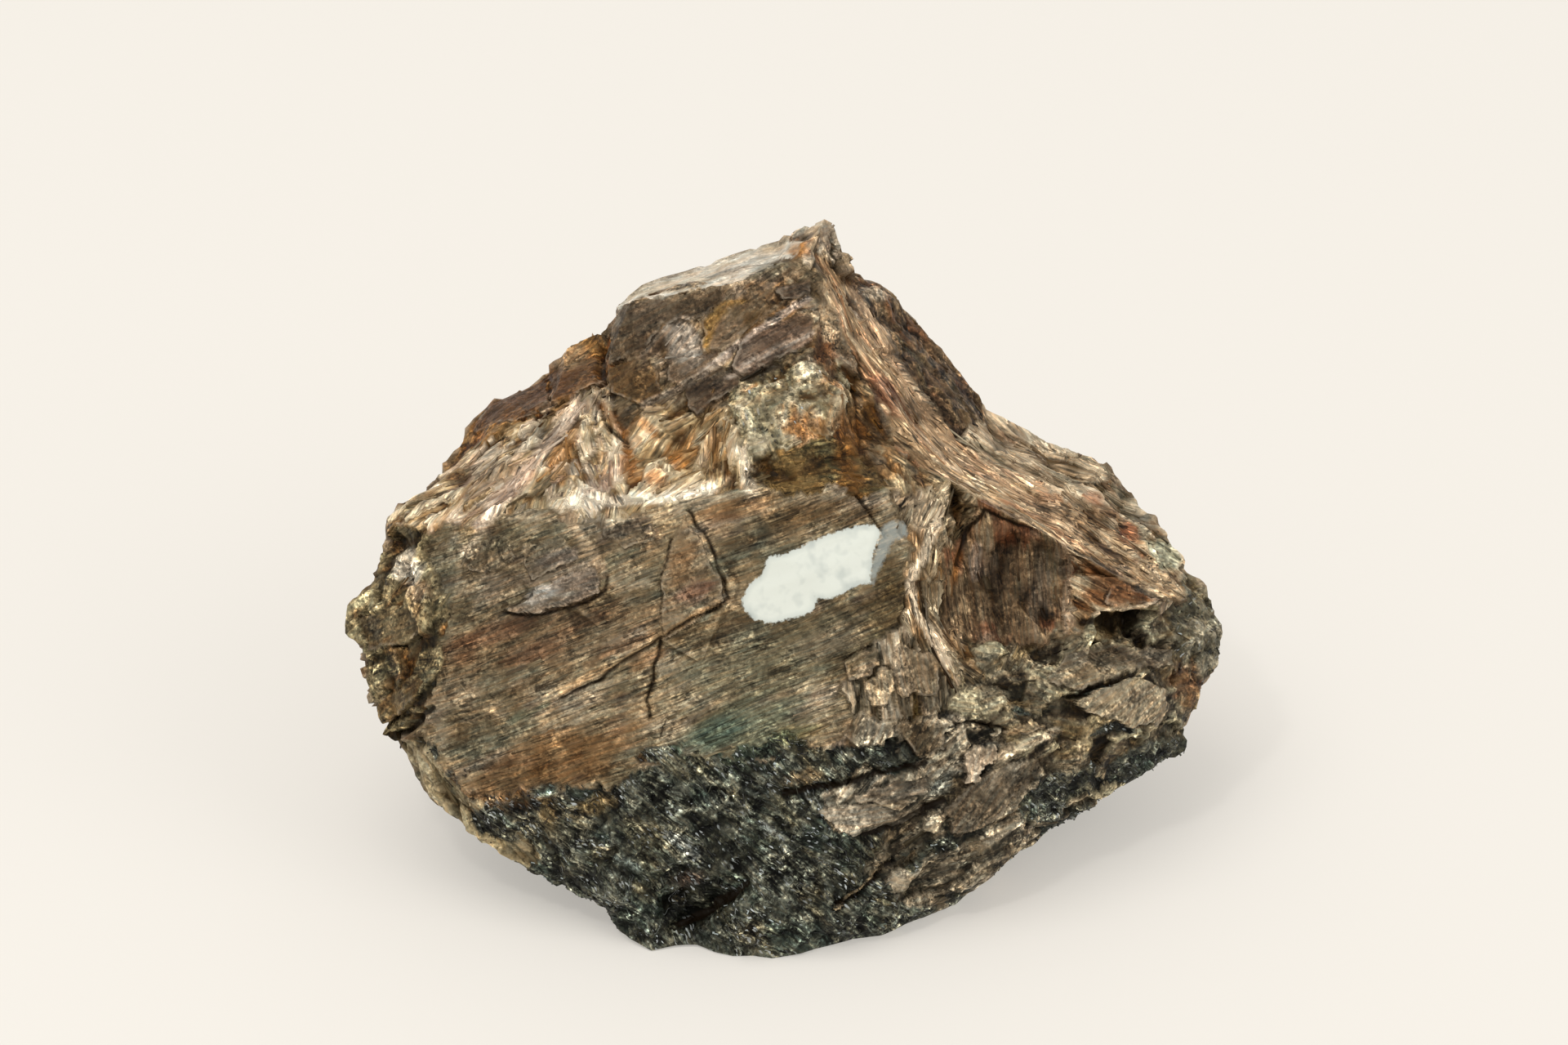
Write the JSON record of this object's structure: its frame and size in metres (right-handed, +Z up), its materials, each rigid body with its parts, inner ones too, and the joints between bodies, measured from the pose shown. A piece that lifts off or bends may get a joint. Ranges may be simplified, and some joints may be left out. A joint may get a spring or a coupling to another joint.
{
  "type": "mineral hand specimen",
  "caption": "Broken hand specimen of fibrous brown amphibole on a dark granular base, with a flat cleavage front, a sharp peak and a fibrous band down one side; rests on a flat underside.",
  "frame": {"origin": "middle of the bounding box in X and Y, on the surface the stone rests on", "axes": "+Z up, -Y towards the side with the flat cleavage face, +X to the right as that side is seen"},
  "size_m": [0.107, 0.0758, 0.0701],
  "materials": {
    "stone": "silky fibrous brown with a dark sparkling granular base"
  },
  "bodies": {
    "root": {"stone": "stone"}
  },
  "joints": []
}
